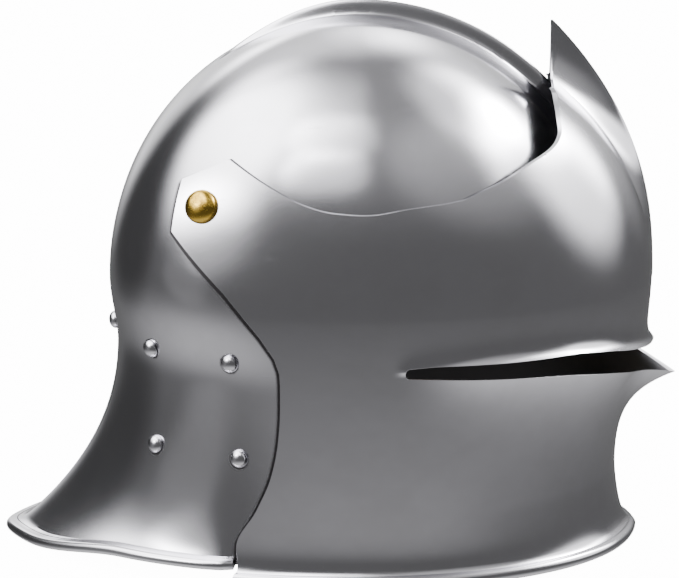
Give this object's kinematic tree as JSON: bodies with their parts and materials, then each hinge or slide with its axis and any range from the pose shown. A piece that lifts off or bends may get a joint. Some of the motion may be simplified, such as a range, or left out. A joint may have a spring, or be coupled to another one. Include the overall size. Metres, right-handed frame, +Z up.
{
  "type": "visored sallet helmet",
  "caption": "Knight's steel sallet with a combed skull, a long swept tail and a keeled visor that tilts up on brass pivots.",
  "frame": {"origin": "middle of the helmet's overall length and width, on the floor plane it stands on", "axes": "+X the way the helmet faces, +Y the wearer's left, +Z up"},
  "size_m": [0.3377, 0.221, 0.2711],
  "materials": {
    "steel": "polished",
    "brass": "polished",
    "leather": "waxed",
    "linen": "woven",
    "cord": "twisted"
  },
  "bodies": {
    "helmet": {"skull": "steel", "rivet_back": "steel", "rivet_rear_left": "steel", "rivet_rear_right": "steel", "rivet_side_left": "steel", "rivet_side_right": "steel", "rivet_temple_left": "steel", "rivet_temple_right": "steel", "rivet_brow_left": "steel", "rivet_brow_right": "steel", "rivet_strap_rear_left": "steel", "rivet_strap_rear_right": "steel", "rivet_strap_front_left": "steel", "rivet_strap_front_right": "steel", "buckle_frame": "steel", "buckle_prong": "steel", "liner_band": "leather", "chin_yoke_right": "leather", "chin_yoke_left": "leather", "chin_strap_right": "leather", "chin_strap_left": "leather", "strap_keeper": "leather", "liner_finger_1": "linen", "liner_finger_2": "linen", "liner_finger_3": "linen", "liner_finger_4": "linen", "liner_finger_5": "linen", "liner_finger_6": "linen", "liner_finger_7": "linen", "liner_finger_8": "linen", "liner_lace": "cord"},
    "visor": {"visor": "steel", "pivot_stud_right": "brass", "pivot_stud_left": "brass", "pivot_washer_right": "steel", "pivot_washer_left": "steel", "pivot_nut_right": "steel", "pivot_nut_left": "steel"}
  },
  "joints": [
    {"name": "visor_tilt", "type": "hinge", "parent": "helmet", "child": "visor", "pos_m": [-0.0655, 0, 0.1855], "axis": [0, -1, 0], "range_deg": [0, 24]}
  ]
}
